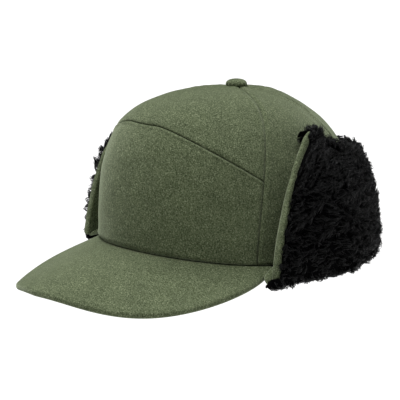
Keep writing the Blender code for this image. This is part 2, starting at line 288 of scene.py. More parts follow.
def unit(vectors):
    length = np.linalg.norm(vectors, axis=-1, keepdims=True)
    return vectors / np.maximum(length, 1e-12)


def grid_normals(grid):
    """Outward normals of a grid of points whose columns run to the left and rows run up."""
    return unit(np.cross(np.gradient(grid, axis=1), np.gradient(grid, axis=0)))


def edge_distances(grid):
    """Distance of each point of a grid from its first and last column and row."""
    across = np.linalg.norm(np.diff(grid, axis=1), axis=-1)
    up = np.linalg.norm(np.diff(grid, axis=0), axis=-1)
    left = np.concatenate([np.zeros((len(grid), 1)), np.cumsum(across, axis=1)], axis=1)
    low = np.concatenate([np.zeros((1, grid.shape[1])), np.cumsum(up, axis=0)], axis=0)
    return {"left": left, "right": left[:, -1:] - left, "low": low, "high": low[-1:] - low}


def cut_size(grid):
    """Width, length and area of the flat cloth that a grid is made from."""
    distance = edge_distances(grid)
    width, length = distance["left"][:, -1].max(), distance["low"][-1].max()
    cells = np.cross(grid[1:, 1:] - grid[:-1, :-1], grid[1:, :-1] - grid[:-1, 1:])
    area = np.linalg.norm(cells, axis=-1).sum() / 2
    return width, length, min(area, 0.999 * width * length)


def waves(points, size, seed, count=14):
    """Smooth noise, about -1 to 1, whose bumps are about this size."""
    rng = np.random.default_rng(seed)
    total = np.zeros(points.shape[:-1])
    for _ in range(count):
        direction = unit(rng.normal(size=3))
        pitch = size * rng.uniform(0.75, 1.5)
        total += np.sin(points @ direction * (2 * math.pi / pitch) + rng.uniform(0, 2 * math.pi))
    return total / math.sqrt(count)


def quads_of_grid(rows, columns, first=0, ring=False):
    """Corner numbers of a grid's faces, anticlockwise seen from the side of its normals."""
    j, i = np.mgrid[0:rows - 1, 0:columns if ring else columns - 1]
    after = (i + 1) % columns
    corners = [j * columns + i, j * columns + after,
               (j + 1) * columns + after, (j + 1) * columns + i]
    return np.stack(corners, axis=-1).reshape(-1, 4) + first


def new_piece(name, points, faces, look, under_look=None, under_count=0):
    """A mesh object from points and a list of arrays of corner numbers.

    Its first under_count faces, such as the cloth that a pile stands on, may have their own look.
    """
    mesh = bpy.data.meshes.new(name)
    corners = np.concatenate([part.ravel() for part in faces])
    sizes = np.concatenate([np.full(len(part), part.shape[1]) for part in faces])
    starts = np.concatenate([[0], np.cumsum(sizes)[:-1]])
    mesh.vertices.add(len(points))
    mesh.vertices.foreach_set("co", points.astype(np.float32).ravel())
    mesh.loops.add(len(corners))
    mesh.loops.foreach_set("vertex_index", corners.astype(np.int32))
    mesh.polygons.add(len(sizes))
    mesh.polygons.foreach_set("loop_start", starts.astype(np.int32))
    mesh.polygons.foreach_set("material_index",
                              (np.arange(len(sizes)) < under_count).astype(np.int32))
    mesh.materials.append(look)
    if under_look:
        mesh.materials.append(under_look)
    mesh.update(calc_edges=True)
    mesh.validate()
    mesh.shade_smooth()
    piece = bpy.data.objects.new(name, mesh)
    bpy.context.scene.collection.objects.link(piece)
    return piece


def shell_parts(outer, inner, ring=False):
    """Points and faces of a closed skin between two grids of the same size."""
    rows, columns = outer.shape[:2]
    size = rows * columns
    points = np.concatenate([outer.reshape(-1, 3), inner.reshape(-1, 3)])
    faces = [quads_of_grid(rows, columns, 0, ring),
             quads_of_grid(rows, columns, size, ring)[:, ::-1]]
    around = np.arange(columns)
    after = (around + 1) % columns
    if not ring:
        around, after = around[:-1], around[1:]
    top = (rows - 1) * columns
    faces.append(np.stack([around + size, after + size, after, around], axis=1))
    faces.append(np.stack([around, after, after + size, around + size], axis=1) + top)
    if not ring:
        up = np.arange(rows - 1) * columns
        faces.append(np.stack([up, up + columns, up + columns + size, up + size], axis=1))
        last = up + columns - 1
        faces.append(np.stack([last + size, last + columns + size, last + columns, last], axis=1))
    return points, faces


def mirrored(points, faces, side):
    """The same for the wearer's right where side is -1."""
    if side > 0:
        return points, faces
    return points * (-1.0, 1.0, 1.0), [part[:, ::-1] for part in faces]


def cloth(name, skins, side, look, body, cut, node=None, ring=False):
    """A sheet of cloth between two skins; its cut width, length and area (cut) are not used."""
    points, faces = mirrored(*shell_parts(*skins, ring), side)
    piece = new_piece(name, points, faces, look)
    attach(piece, body)
    if node:
        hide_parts(node)
    return piece


# ---- materials

class Look:
    """A material as it is built, from nodes that use the object's own coordinates."""

    def __init__(self, name, roughness, metallic=0.0):
        self.material = bpy.data.materials.new(name)
        self.material.use_nodes = True
        self.tree = self.material.node_tree
        self.shader = self.tree.nodes["Principled BSDF"]
        self.place = self.add("ShaderNodeTexCoord").outputs["Object"]
        self.put(self.shader, {"Roughness": roughness, "Metallic": metallic})

    def put(self, node, values):
        """Links or sets a node's inputs."""
        for key, value in values.items():
            if isinstance(value, bpy.types.NodeSocket):
                self.tree.links.new(value, node.inputs[key])
            else:
                node.inputs[key].default_value = value

    def add(self, kind, values=(), **settings):
        """A new node with these settings and inputs."""
        node = self.tree.nodes.new(kind)
        for key, value in settings.items():
            setattr(node, key, value)
        self.put(node, dict(values))
        return node

    def noise(self, scale, detail=2.0, stretch=(1.0, 1.0, 1.0), turn=(0.0, 0.0, 0.0)):
        """Noise of the given scale, drawn out along some directions."""
        mapping = self.add("ShaderNodeMapping",
                           {"Vector": self.place, "Scale": stretch, "Rotation": turn})
        values = {"Vector": mapping.outputs["Vector"], "Scale": scale, "Detail": detail,
                  "Roughness": 0.6}
        return self.add("ShaderNodeTexNoise", values).outputs["Fac"]

    def ramp(self, factor, stops):
        node = self.add("ShaderNodeValToRGB", {"Fac": factor})
        band = node.color_ramp
        while len(band.elements) < len(stops):
            band.elements.new(0.5)
        for element, (place, colour) in zip(band.elements, stops):
            element.position = place
            element.color = (*colour, 1.0)
        return node.outputs["Color"]

    def mix(self, kind, factor, first, second):
        return self.add("ShaderNodeMix", {0: factor, 6: first, 7: second},
                        data_type="RGBA", blend_type=kind).outputs[2]

    def math(self, operation, first, second):
        return self.add("ShaderNodeMath", {0: first, 1: second}, operation=operation).outputs[0]

    def finish(self, colour, relief, strength, depth, others=()):
        """The material, with its colour, relief and any other inputs put into the shader."""
        bump = self.add("ShaderNodeBump",
                        {"Height": relief, "Strength": strength, "Distance": depth})
        self.put(self.shader, {"Base Color": colour, "Normal": bump.outputs["Normal"]})
        self.put(self.shader, dict(others))
        return self.material


def wool_look():
    """Heathered melton: mixed green fibres felted in all directions."""
    look = Look("wool", 0.92)
    fleck = look.noise(1150, 1.5)
    one_way = look.noise(1500, 1.0, (1.0, 0.22, 0.35), (0.3, 0.2, 0.5))
    other_way = look.noise(1500, 1.0, (0.25, 1.0, 0.3), (0.9, 0.4, 0.1))
    upright = look.noise(1400, 1.0, (0.8, 0.9, 0.2), (0.2, 0.5, 0.8))
    fibres = look.math("MAXIMUM", look.math("MAXIMUM", one_way, other_way), upright)
    heather = look.ramp(fleck, [(0.33, (0.025, 0.036, 0.014)), (0.46, (0.068, 0.087, 0.042)),
                                (0.57, (0.102, 0.125, 0.066)), (0.69, (0.210, 0.240, 0.148))])
    light_fibres = look.ramp(fibres, [(0.60, (0.0, 0.0, 0.0)), (0.80, (1.0, 1.0, 1.0))])
    colour = look.mix("MIX", look.math("MULTIPLY", light_fibres, 0.5), heather,
                      (0.200, 0.230, 0.138, 1.0))
    patches = look.ramp(look.noise(75, 3.0), [(0.3, (0.86, 0.87, 0.84)), (0.7, (1.10, 1.10, 1.08))])
    relief = look.math("ADD", fibres, look.math("MULTIPLY", fleck, 0.7))
    return look.finish(look.mix("MULTIPLY", 1.0, colour, patches), relief, 0.55, 0.0005,
                       {"Specular IOR Level": 0.15, "Sheen Weight": 0.35,
                        "Sheen Roughness": 0.5, "Sheen Tint": (0.72, 0.80, 0.58, 1.0)})


def sherpa_look():
    """Black pile with a dull shine along its strands; scattered strands are painted lighter grey as
    painted highlights.
    """
    look = Look("sherpa", 0.36)
    # Mostly the pile's own near-black; the light stop paints scattered strands grey, a painted
    # highlight standing in for lit strands.
    colour = look.ramp(look.noise(620, 1.5), [(0.36, (0.0005, 0.0006, 0.0006)),
                                              (0.54, (0.0018, 0.0020, 0.0020)),
                                              (0.68, (0.0170, 0.0180, 0.0180))])
    return look.finish(colour, look.noise(2200, 1.0, (1.0, 1.0, 0.3)), 0.4, 0.0003,
                       {"Specular IOR Level": 0.17, "Sheen Weight": 0.02,
                        "Sheen Roughness": 0.4, "Sheen Tint": (0.30, 0.30, 0.36, 1.0)})


def ground_look():
    """The knitted ground of the sherpa, deep between the strands."""
    look = Look("sherpa_ground", 1.0)
    knit = look.noise(900, 2.0)
    colour = look.ramp(knit, [(0.4, (0.0004, 0.0004, 0.0005)), (0.7, (0.0030, 0.0031, 0.0034))])
    return look.finish(colour, knit, 0.8, 0.0006, {"Specular IOR Level": 0.03})


def woven_look(name, colour, pitch, roughness, sheen, slant):
    """Cloth of crossed threads; a slant of 1 gives a twill's diagonal lines."""
    look = Look(name, roughness)
    parts = look.add("ShaderNodeSeparateXYZ", {"Vector": look.place})
    around = look.math("ARCTAN2", parts.outputs["X"], parts.outputs["Y"])
    around = look.math("MULTIPLY", around, CROWN_HALF_WIDTH)
    sideways = look.math("ADD", around, look.math("MULTIPLY", parts.outputs["Z"], slant))
    frequency = 2 * math.pi / pitch
    warp = look.math("SINE", look.math("MULTIPLY", sideways, frequency), 0.0)
    weft = look.math("SINE", look.math("MULTIPLY", parts.outputs["Z"], frequency), 0.0)
    threads = look.math("ADD", warp, look.math("MULTIPLY", weft, 1.0 - slant))
    dark = tuple(part * 0.55 for part in colour)
    light = tuple(part * 1.5 for part in colour)
    shade = look.math("ADD", look.math("MULTIPLY", threads, 0.15), look.noise(160, 3.0))
    return look.finish(look.ramp(shade, [(0.25, dark), (0.8, light)]), threads, 0.5, 0.0002,
                       {"Sheen Weight": sheen})


def board_look():
    look = Look("bill_board", 0.5)
    grain = look.noise(500, 3.0)
    colour = look.ramp(grain, [(0.3, (0.46, 0.46, 0.44)), (0.7, (0.60, 0.60, 0.58))])
    return look.finish(colour, grain, 0.3, 0.0002)


def steel_look():
    look = Look("steel", 0.35, 1.0)
    brushed = look.noise(900, 2.0, (1.0, 1.0, 0.1))
    colour = look.ramp(brushed, [(0.3, (0.48, 0.48, 0.47)), (0.7, (0.66, 0.66, 0.65))])
    return look.finish(colour, brushed, 0.2, 0.0001)


WOOL_LOOK = wool_look()
SHERPA_LOOK = sherpa_look()
GROUND_LOOK = ground_look()
LINING_LOOK = woven_look("lining", (0.020, 0.021, 0.019), 0.0007, 0.42, 0.2, 0.0)
BAND_LOOK = woven_look("sweatband", (0.015, 0.015, 0.015), 0.0011, 0.8, 0.3, 1.0)
BUCKRAM_LOOK = woven_look("buckram", (0.60, 0.58, 0.52), 0.0016, 0.85, 0.1, 0.0)
BOARD_LOOK = board_look()
STEEL_LOOK = steel_look()


# ---- crown

def seam_shape(distance, crisp=False):
    """Depth of the cloth at this distance from a seam: it rolls in, beside a slight ridge."""
    near = np.clip(SEAM_ROLL - distance, 0.0, SEAM_ROLL)
    roll = SEAM_ROLL - np.sqrt(SEAM_ROLL ** 2 - near ** 2)
    if crisp:
        return roll - 0.00050 * np.exp(-((distance - 0.0020) / 0.0011) ** 2)
    return roll - RIDGE * np.exp(-((distance - RIDGE_AT) / 0.0021) ** 2)


def relax(grid, distance):
    """How far real cloth stands off its pattern: slow swells, and small puckers at the seams."""
    nearest = np.minimum.reduce(list(distance.values()))
    swell = SWELL * waves(grid, 0.050, 3) + SWELL / 4 * waves(grid, 0.017, 4)
    pucker = PUCKER * waves(grid, 0.0075, 5) * np.exp(-nearest / 0.006)
    return (swell + pucker) * smooth_step(nearest, 0.0, 0.003)


def cloth_panel(node, surface, columns, rows, side=1, crisp=""):
    """One sewn wool panel of the crown; the edge named by crisp has a narrow, high ridge."""
    u, v = shares(columns * FINE, rows * FINE, close_ends)
    grid = surface(u, v)
    normals = grid_normals(grid)
    distance = edge_distances(grid)
    depth = sum(seam_shape(distance[edge], edge == crisp) for edge in distance)
    depth = np.minimum(depth, SEAM_ROLL * 1.2) - relax(grid, distance)
    outer = grid - normals * depth[..., None]
    inner = grid - normals * np.maximum(WOOL, depth + 0.0006)[..., None]
    cloth(f"{node}_cloth", (outer, inner), side, WOOL_LOOK, "crown", cut_size(grid),
          node)


def front_surface(bottom, top, gap_low, gap_high):
    """Surface between the two side seams, from lift bottom(across) to lift top(across)."""
    def surface(u, v):
        across = 2 * u - 1
        low = bottom(across) + gap_low / CROWN_HEIGHT
        high = top(across) - gap_high / CROWN_HEIGHT
        lift = low + (high - low) * v
        edge = side_seam(lift)
        radius = np.linalg.norm(crown_point(edge, lift)[..., :2], axis=-1)
        return crown_point(across * (edge - SEAM_GAP / 2 / radius), lift)
    return surface


def gore_surface(first, last):
    """Surface from the bottom edge to the top between two seams, each an angle of lift."""
    def surface(u, v):
        middle = (first(0.5) + last(0.5)) / 2
        lift = v * top_lift(middle)
        radius = np.linalg.norm(crown_point(middle, lift)[..., :2], axis=-1)
        inset = SEAM_GAP / 2 / radius
        left, right = first(lift) + inset, last(lift) - inset
        angle = left + (right - left) * u
        return crown_point(angle, v * top_lift(angle))
    return surface


def make_crown():
    def bottom(across):
        return 0.0 * across

    def top(across):
        return top_lift(across * SIDE_SEAM_TOP)

    back_seam = straight_seam(BACK_SEAM)
    middle_back = straight_seam(math.pi)
    half = SEAM_GAP / 2
    front = front_surface(bottom, brow_lift, 0.0, half)
    cloth_panel("front_panel", front, 210, 130, crisp="high")
    cloth_panel("top_panel", front_surface(brow_lift, top, half, 0.0), 210, 120)
    for side, word in ((1, "left"), (-1, "right")):
        cloth_panel(f"side_panel_{word}", gore_surface(side_seam, back_seam), 120, 170, side)
        cloth_panel(f"back_panel_{word}", gore_surface(back_seam, middle_back), 110, 170, side)


def inner_cloth(node, grid, depth, thickness, look, slack, ring=False):
    """A thinner cloth at some depth under the crown's surface, a little loose."""
    normals = grid_normals(grid)
    if ring:
        wrapped = np.concatenate([grid[:, -2:-1], grid, grid[:, 1:2]], axis=1)
        normals = grid_normals(wrapped)[:, 1:-1]
    loose = slack * waves(grid, 0.022, 8) + slack * 0.5 * waves(grid, 0.009, 9)
    if ring:
        grid, normals, loose = grid[:, :-1], normals[:, :-1], loose[:, :-1]
    outer = grid - normals * (depth + loose)[..., None]
    inner = grid - normals * (depth + thickness + loose)[..., None]
    cloth(f"{node}_cloth", (outer, inner), 1, look, "crown", cut_size(outer),
          node, ring)


def make_crown_inside():
    """Lining gores, the sweatband, and materials for the hidden CAD nodes."""
    back_left = straight_seam(BACK_SEAM)
    gores = {
        "lining_front": (right_side_seam, side_seam, 150),
        "lining_left": (side_seam, back_left, 80),
        "lining_right": (straight_seam(-BACK_SEAM), right_side_seam, 80),
        "lining_back": (back_left, straight_seam(2 * math.pi - BACK_SEAM), 130),
    }
    for node, (first, last, columns) in gores.items():
        surface = gore_surface(first, last)
        u = np.linspace(-LINING_LAP, 1.0 + LINING_LAP, int(columns * FINE))[None, :]
        v = np.linspace(0.02, 1.0, int(100 * FINE))[:, None]
        inner_cloth(node, surface(u, v), LINING_DEPTH, LINING, LINING_LOOK, 0.00025)
    angle = np.linspace(-math.pi, math.pi, int(360 * FINE) + 1)[None, :]
    v = np.linspace(0.0, 1.0, 16)[:, None]
    height = base_height(angle) + HEM + SWEATBAND_HEIGHT * v
    grid = crown_point(angle, lift_at_height(angle, height))
    inner_cloth("sweatband", grid, SWEATBAND_DEPTH, SWEATBAND, BAND_LOOK, 0.00012,
                ring=True)
    for node, look in (("front_buckram", BUCKRAM_LOOK), ("bill_board", BOARD_LOOK),
                       ("button_shell", STEEL_LOOK), ("button_prong", STEEL_LOOK)):
        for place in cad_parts[node].material_slots:
            place.material = look


# ---- bill and button

def bill_sheet(across, v, climb):
    """The bill's surface, with its root turned up by climb behind the front panel."""
    tuck = 0.93
    point = bill_point(across, np.minimum(v / tuck, 1.0))
    point[..., 2] += climb * np.clip((v - tuck) / (1.0 - tuck), 0.0, 1.0)
    return point


def bill_cover(word):
    """The bill's top or bottom cover; they meet half way down its rounded free edge."""
    top = word == "top"
    u, v = shares(260 * FINE, 110 * FINE, close_ends)
    across = (2 * u - 1) * BILL_CUT
    grid = bill_sheet(across, v, 0.004 if top else 0.0005)
    normals = grid_normals(grid)
    distance = edge_distances(grid)
    half = BILL_THICKNESS / 2 - 0.00005
    free = np.minimum.reduce([distance["low"], distance["left"], distance["right"]])
    near = np.clip(half - free, 0.0, half)
    round_off = half - np.sqrt(half ** 2 - near ** 2)
    ridge = 0.00018 * np.exp(-((free - 0.0055) / 0.0025) ** 2)
    wave = 0.00016 * waves(grid, 0.045, 11) * smooth_step(distance["high"], 0.0, 0.01)
    sink = round_off - (ridge + wave) * smooth_step(free, 0.0, half)
    if top:
        outer = grid - normals * sink[..., None]
        inner = grid - normals * np.maximum(BILL_COVER, sink + THINNEST)[..., None]
    else:
        lowest = BILL_THICKNESS - sink
        highest = np.minimum(BILL_THICKNESS - BILL_COVER, lowest - THINNEST)
        outer = grid - normals * highest[..., None]
        inner = grid - normals * lowest[..., None]
    width = np.ptp(grid[..., 0])
    length = np.ptp(grid[..., 1]) * math.hypot(1.0, BILL_SLOPE)
    cloth(f"bill_{word}_cloth", (outer, inner), 1, WOOL_LOOK, "crown",
          (width, length, cut_size(grid)[2]), f"bill_{word}_cover")


def make_button():
    """The covered button: cloth pulled over a dome, in small gathers round its rim."""
    steps, rings = 96, 28
    turn = np.linspace(0.0, 2 * math.pi, steps, endpoint=False)[None, :]
    v = np.linspace(0.0, 1.0, rings)[:, None]
    tilt = v * math.radians(112)
    gathers = 0.00016 * np.sin(turn * 15 + 0.6 * np.sin(turn * 2)) * smooth_step(v, 0.35, 0.85)
    radius = (BUTTON_RADIUS + gathers) * np.sin(tilt) ** 0.92 + 0.00005
    dome = np.sign(np.cos(tilt)) * np.abs(np.cos(tilt)) ** 0.85
    height = CROWN_HEIGHT + 0.0016 + (BUTTON_HEIGHT - 0.0022) * dome
    height = np.maximum(height, CROWN_HEIGHT + THINNEST) + 0.0 * turn
    outer = np.stack([radius * np.sin(turn), -radius * np.cos(turn), height], axis=-1)[::-1]
    middle = np.array([0.0, 0.0, CROWN_HEIGHT + 0.0010])
    inner = middle + (outer - middle) * 0.86
    points, faces = shell_parts(outer, inner, ring=True)
    piece = new_piece("button_cloth", points, faces, WOOL_LOOK)
    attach(piece, "crown")
    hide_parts("button_cover")


# ---- sherpa pile

def lock_centres(grid, rng):
    """Places of the pile's locks on a grid, as jittered rows of (column, row) shares."""
    distance = edge_distances(grid)
    columns = max(int(distance["left"][:, -1].mean() / LOCK_SPACING * math.sqrt(FINE)), 2)
    rows = max(int(distance["low"][-1].mean() / LOCK_SPACING * math.sqrt(FINE)), 2)
    j, i = np.mgrid[0:rows, 0:columns]
    u = (i + 0.5 + 0.5 * (j % 2 - 0.5) + rng.uniform(-LOCK_JITTER, LOCK_JITTER, i.shape)) / columns
    v = (j + 0.5 + rng.uniform(-LOCK_JITTER, LOCK_JITTER, i.shape)) / rows
    return np.clip(u, 0.0, 1.0).ravel(), np.clip(v, 0.0, 1.0).ravel(), columns, rows


def on_grid(values, u, v):
    """Values of a grid between its points."""
    rows, columns = values.shape[:2]
    x = np.clip(u, 0, 1) * (columns - 1)
    y = np.clip(v, 0, 1) * (rows - 1)
    i = np.minimum(x.astype(int), columns - 2)
    j = np.minimum(y.astype(int), rows - 2)
    a, b = (x - i)[:, None], (y - j)[:, None]
    low = values[j, i] * (1 - a) + values[j, i + 1] * a
    high = values[j + 1, i] * (1 - a) + values[j + 1, i + 1] * a
    return low * (1 - b) + high * b


def lock_tips(grid, normals, u, v, rng, seed, share, tall, lean):
    """Foot, height and tip of each lock; neighbours lean about the same way."""
    count = len(u)
    foot = on_grid(grid, u, v)
    normal = unit(on_grid(normals, u, v))
    level = unit(on_grid(np.gradient(grid, axis=1), u, v))
    up = unit(np.cross(normal, level))
    swing = 0.55 * math.pi * waves(foot, 0.020, seed % 7 + 30) + rng.normal(0, 0.5, count)
    heading = level * np.cos(swing)[:, None] + up * (np.sin(swing) * 0.8 + 0.3)[:, None]
    height = rng.uniform(0.72, 1.18, count)
    height *= on_grid(np.broadcast_to(tall * share, grid.shape[:2])[..., None], u, v)[:, 0]
    slant = lean * rng.uniform(0.5, 1.3, count) * np.minimum(height / (0.4 * tall), 1.0)
    return foot, height, foot + normal * height[:, None] + heading * slant[:, None]


def curled(path, normal, t, rng):
    """Winds each strand's path round itself, and returns it with a direction across it."""
    first = unit(np.cross(normal, rng.normal(size=normal.shape)))
    second = np.cross(normal, first)
    phase = rng.uniform(0, 2 * math.pi, len(path))[:, None, None]
    curl = CURL * t * np.cos(CURL_TURN * t + phase) * first[:, None]
    curl = curl + CURL * t * np.sin(CURL_TURN * t + phase) * second[:, None]
    return path + curl, first


def strand_tubes(path, across, radius):
    """Points and faces of a three-sided tube along each path, with its tip closed."""
    count, steps = path.shape[:2]
    forward = unit(np.gradient(path, axis=1))
    side_one = unit(np.cross(forward, across[:, None]))
    side_two = np.cross(forward, side_one)
    edges = []
    for k in range(3):
        around = 2 * math.pi * k / 3
        edges.append(path + radius * (math.cos(around) * side_one + math.sin(around) * side_two))
    points = np.stack(edges, axis=2).reshape(-1, 3)
    each = np.arange(count)[:, None, None] * steps * 3
    start = each + np.arange(steps - 1)[None, :, None] * 3
    rim = np.arange(3)[None, None, :]
    after = (rim + 1) % 3
    quads = np.stack([start + rim, start + after, start + after + 3, start + rim + 3], axis=-1)
    caps = each[:, 0] + (steps - 1) * 3 + np.arange(3)[None, :]
    return points, [quads.reshape(-1, 4), caps]


def pile(grid, seed, share=1.0, tall=0.0042, lean=0.0042):
    """Points and faces of curly strands that stand on a grid, gathered into pointed locks."""
    rng = np.random.default_rng(seed)
    normals = grid_normals(grid)
    u, v, columns, rows = lock_centres(grid, rng)
    foot, height, tip = lock_tips(grid, normals, u, v, rng, seed, share, tall, lean)

    which = np.repeat(np.arange(len(u)), STRANDS)
    spread = LOCK_SPREAD * np.sqrt(rng.uniform(0, 1, len(which)))
    turn = rng.uniform(0, 2 * math.pi, len(which))
    su = u[which] + spread * np.cos(turn) / columns
    sv = v[which] + spread * np.sin(turn) / rows
    base = on_grid(grid, su, sv)
    normal = unit(on_grid(normals, su, sv))
    base -= normal * STRAND_ROOT
    away = base - foot[which]
    rise = height[which] * rng.uniform(0.65, 1.0, len(which))
    knee = base + normal * (rise * 0.75)[:, None] + away * 0.25
    end = tip[which] + away * 0.24 + rng.normal(0, 0.0005, base.shape)
    end -= normal * (height[which] - rise)[:, None] * 0.6

    t = np.linspace(0.0, 1.0, STRAND_STEPS)[None, :, None]
    path = base[:, None] * (1 - t) ** 2 + knee[:, None] * 2 * t * (1 - t) + end[:, None] * t ** 2
    path, first = curled(path, normal, t, rng)
    radius = rng.uniform(*STRAND_RADII, len(which))[:, None, None] * (1.0 - 0.75 * t ** 1.5)
    return strand_tubes(path, first + 0.3 * normal, radius)


def pile_piece(name, ground, strands, side, body):
    """One padded piece of a dense ground and the strands that stand on it."""
    points = np.concatenate([ground[0], strands[0]])
    faces = ground[1] + [part + len(ground[0]) for part in strands[1]]
    count = sum(len(part) for part in ground[1])
    piece = new_piece(name, *mirrored(points, faces, side), SHERPA_LOOK, GROUND_LOOK, count)
    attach(piece, body)
    return piece


def lumpy(grid, size, amount, seed):
    return grid + grid_normals(grid) * (amount * waves(grid, size, seed))[..., None]


# ---- flap band

class Length:
    """One length of the band. It is shaped on the wearer's left, and mirrored to its own side."""

    def __init__(self, index, side):
        facing = facing_of(index)
        word = LENGTHS[index]
        self.name = word if word == "neck" else f"{word}_{'left' if side > 0 else 'right'}"
        self.body = f"flap_{self.name}"
        self.index = index
        self.side = side
        self.lean = lean_of(index)
        self.after = index + 1 if index < len(LENGTHS) - 1 else index - 1
        self.outward = np.array([math.sin(facing), -math.cos(facing), 0.0])
        self.along = np.array([math.cos(facing), math.sin(facing), 0.0])
        self.fold = self.outward * fold_distance(index) + (0.0, 0.0, FOLD_Z)
        self.out_of_plane = self.outward * math.cos(self.lean) + (0.0, 0.0, math.sin(self.lean))

    def seed(self, first):
        """A random seed of this length's own, counted from the first of its kind."""
        return first + self.index * 2 + (self.side > 0)

    def place(self, along, height, offset):
        """A point on the leaning plane: up it by height, and out of it by offset."""
        out = offset * math.cos(self.lean) - height * math.sin(self.lean)
        return self.upright(along, out, height * math.cos(self.lean) + offset * math.sin(self.lean))

    def upright(self, along, out, up):
        """A point beside the fold line, moved out and up."""
        along, out, up = np.broadcast_arrays(along, out, up)
        return (self.fold + along[..., None] * self.along + out[..., None] * self.outward
                + up[..., None] * np.array([0.0, 0.0, 1.0]))

    def ends(self, height, offset):
        """The ends at this height and offset, where the length meets its neighbours."""
        level = height * math.cos(self.lean) + offset * math.sin(self.lean)
        end = corner(self.index, self.after, level, offset) - SEAM_GAP / 2
        if self.index == 0:
            return self.front(height), end
        return SEAM_GAP / 2 - corner(self.index, self.index - 1, level, offset), end

    def top(self, u):
        """Height of the wool's upper edge, from the start to the end of this length."""
        last = TOP_HEIGHTS[min(self.index, len(TOP_HEIGHTS) - 1)]
        if self.index > 0:
            first = TOP_HEIGHTS[self.index - 1]
            return last + (first - last) * (1.0 - smooth_step(u, 0.0, 1.0))
        first = EAR_TOP - EAR_TOP_DROP[self.side]
        turned = 1.0 - np.clip(u / 0.6, 0.0, 1.0)
        corner_drop = EAR_CORNER * (1.0 - np.sqrt(1.0 - turned ** 2))
        return last + (first - last) * (1.0 - u ** 2) - corner_drop

    def front(self, height):
        """The ear flap's front edge, which keeps its line as the cloth bends in."""
        bent = 1.25 * self.hug(0.0, height)
        return ear_edge(np.maximum(height, 0.0)) + EAR_BACK[self.side] + bent

    def hug(self, u, height):
        """How far the folded cloth bends in over the crown at this place."""
        front, behind = HUG_STARTS
        share = smooth_step(u, 0.3, 1.0) if self.index == 0 else 1.0
        start = front + (behind - front) * share
        most = HUG * (EAR_HUG[self.side] * (1.0 - share) + share)
        return most * (np.maximum(height - start, 0.0) / HUG_RISE) ** 2

    def sag(self, u):
        """How much less the sherpa stands out here, so that the band is round and not angular."""
        away = np.maximum(u - 0.4, 0.0) / 0.6 if self.index == 0 else 2 * u - 1
        return CORNER_SAG * away ** 2

    def under_fold(self, u, out, slant=0.0):
        """Places along a strip under the fold; the ear's front end slants back by this much."""
        start, end = self.ends(0.0, out)
        if self.index == 0:
            start = start - EAR_PAST_BILL[self.side] + slant * smooth_step(-out, 0.002, 0.016)
        return start + (end - start) * u

    def wall(self, u, height):
        """How far out of the fold line the crown's wall is; it is behind the line, so below 0."""
        start, end = self.ends(0.0, 0.0)
        angle = np.radians(np.arange(0, 225))
        wall = crown_point(angle, lift_at_height(angle, height)) - self.fold
        near = wall @ self.outward > -0.06
        return np.interp(start + (end - start) * u, (wall @ self.along)[near],
                         (wall @ self.outward)[near])

    def flatten(self, piece):
        """Gives a piece its own copy of its mesh."""
        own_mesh(piece)


def flap_wool(length):
    """The wool of one length, with a rolled root on its fold line."""
    u, v = shares(70 * FINE, 70 * FINE)
    blunt = REAR_BLUNT * (1.0 - smooth_step(u, 0.0, 0.12)) if length.index == 1 else 0.0
    top = length.top(u) - blunt
    height = top * v
    bent = -length.hug(u, height)
    start, end = length.ends(height, -BENT_SLACK * bent)
    along = start + (end - start) * u
    flat = length.place(along, height, bent)
    bent = bent + FLAP_SWELL * waves(flat, 0.030, 21) * smooth_step(v, 0.05, 0.3)
    root = ROOT_RADIUS * np.sqrt(np.clip(1.0 - (height / ROOT_RADIUS) ** 2, 0.0, 1.0))
    to_top = np.clip((top - height) / (FLAP_WOOL / 2), 0.0, 1.0)
    half = FLAP_WOOL / 2 * np.sqrt(1.0 - (1.0 - to_top) ** 2)
    half = np.maximum(np.maximum(half, root), THINNEST)
    outer = length.place(along, height, bent + half)
    inner = length.place(along, height, bent - half)
    node = f"{length.name}_wool"
    piece = cloth(f"{node}_cloth", (outer, inner), length.side, WOOL_LOOK, length.body,
                  cut_size(flat), node)
    length.flatten(piece)


def sherpa_bed(length, u, v):
    """Outer face of the sherpa's dense part, up the flap and over its upper edge, and its back."""
    over = np.clip((v - BED_TURN) / (1.0 - BED_TURN), 0.0, 1.0)
    tilt = over * math.radians(165)
    height = (length.top(u) - 0.004) * np.minimum(v / BED_TURN, 1.0) + 0.0015
    bent = length.hug(u, height + 0.004 * over)
    thin = length.sag(u) + FOLD_SAG * np.maximum(1.0 - height / 0.022, 0.0) ** 2
    full = PILE_BED - thin
    front = 0.0
    if length.index == 0:
        front = FACING_WIDTH * (0.5 + 0.5 * smooth_step(height, 0.070, 0.090))
        rounded = np.sqrt(1.0 - (1.0 - np.clip(u / 0.07, 0.0, 1.0)) ** 2)
        full = 0.0020 + (full - 0.0020) * rounded
        tilt = tilt * (0.45 + 0.55 * smooth_step(u, 0.85, 1.0))
    middle = 0.0005 - bent
    reach = np.where(np.cos(tilt) > 0, FLAP_WOOL / 2 + full - bent - middle, 0.0030)
    offset = middle + reach * np.cos(tilt)
    on_wool = FLAP_WOOL / 2 + THINNEST - bent

    def between_ends(beside):
        start, end = length.ends(height, beside)
        return start + front + (end - start - front) * u
    face = length.place(between_ends(offset), height + 0.0045 * np.sin(tilt), offset)
    return face, length.place(between_ends(on_wool), height + 0.002 * over, on_wool)


